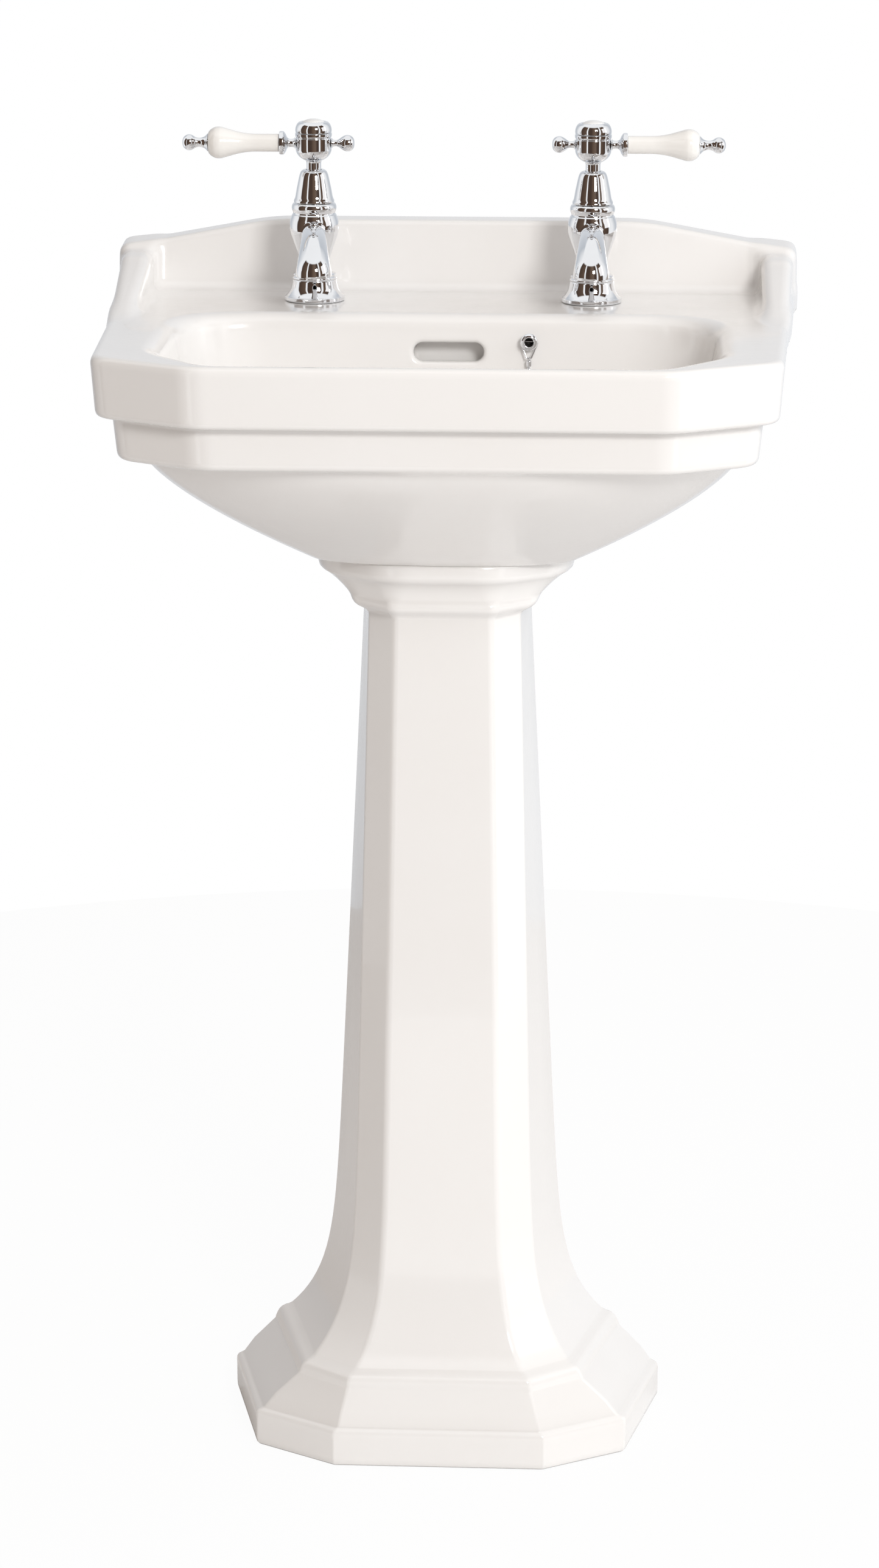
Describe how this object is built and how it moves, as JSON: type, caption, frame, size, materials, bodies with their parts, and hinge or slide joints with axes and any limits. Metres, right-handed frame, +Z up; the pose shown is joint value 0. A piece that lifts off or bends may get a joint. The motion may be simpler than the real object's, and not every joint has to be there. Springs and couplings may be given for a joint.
{
  "type": "pedestal wash basin",
  "caption": "Pedestal wash basin with lever pillar taps, a plug on a ball chain, a slotted waste and a bottle trap.",
  "frame": {"origin": "on the floor, on the plane of symmetry, midway between the front of the rim and the back of the basin to within 2 mm", "axes": "+X to the user's right as they face the basin, +Y back to the wall, +Z up"},
  "size_m": [0.5094, 0.397, 0.9752],
  "materials": {
    "glazed_china": "glossy warm white glaze",
    "chrome": "polished plate",
    "cream_porcelain": "glossy cream glaze",
    "index_ceramic": "glossy white",
    "brass": "machined",
    "valve_ceramic": "lapped",
    "black_rubber": "matt moulded",
    "white_plastic": "moulded",
    "screw_steel": "machined"
  },
  "bodies": {
    "fixed": {"basin": "glazed_china", "pedestal": "glazed_china", "hot_tap_body": "chrome", "hot_deck_washer": "black_rubber", "hot_tophat_washer": "white_plastic", "hot_backnut": "brass", "hot_headwork": "brass", "hot_fixed_disc": "valve_ceramic", "hot_bonnet": "chrome", "cold_tap_body": "chrome", "cold_deck_washer": "black_rubber", "cold_tophat_washer": "white_plastic", "cold_backnut": "brass", "cold_headwork": "brass", "cold_fixed_disc": "valve_ceramic", "cold_bonnet": "chrome", "chain_stay_stud": "chrome", "chain_stay_washer": "white_plastic", "chain_stay_nut": "brass", "chain_stay_link": "chrome", "chain_top_clasp": "chrome", "chain_slack": "chrome", "waste_body": "chrome", "waste_seal": "black_rubber", "waste_washer": "black_rubber", "waste_backnut": "brass", "trap_washer": "black_rubber", "trap_inlet_nut": "white_plastic", "trap_body": "white_plastic", "trap_cup": "white_plastic", "trap_outlet_nut": "white_plastic", "waste_pipe": "white_plastic"},
    "hot_handle": {"hot_spindle": "brass", "hot_moving_disc": "valve_ceramic", "hot_handle_hub": "chrome", "hot_handle_screw": "screw_steel", "hot_index_ring": "chrome", "hot_index_disc": "index_ceramic", "hot_short_arm": "chrome", "hot_lever_rod": "chrome", "hot_lever_grip": "cream_porcelain", "hot_lever_tip": "chrome"},
    "cold_handle": {"cold_spindle": "brass", "cold_moving_disc": "valve_ceramic", "cold_handle_hub": "chrome", "cold_handle_screw": "screw_steel", "cold_index_ring": "chrome", "cold_index_disc": "index_ceramic", "cold_short_arm": "chrome", "cold_lever_rod": "chrome", "cold_lever_grip": "cream_porcelain", "cold_lever_tip": "chrome"},
    "plug": {"plug": "black_rubber", "plug_eye": "chrome", "plug_ring": "chrome", "chain_tail": "chrome", "chain_end_clasp": "chrome"}
  },
  "joints": [
    {"name": "hot_handle_turn", "type": "hinge", "parent": "fixed", "child": "hot_handle", "pos_m": [-0.1025, 0.108, 0.95], "axis": [0, 0, 1], "range_deg": [0, 90]},
    {"name": "cold_handle_turn", "type": "hinge", "parent": "fixed", "child": "cold_handle", "pos_m": [0.1025, 0.108, 0.95], "axis": [0, 0, 1], "range_deg": [-90, 0]},
    {"name": "plug_lift", "type": "slide", "parent": "fixed", "child": "plug", "axis": [0, 0, 1], "range_m": [0, 0.06]}
  ]
}
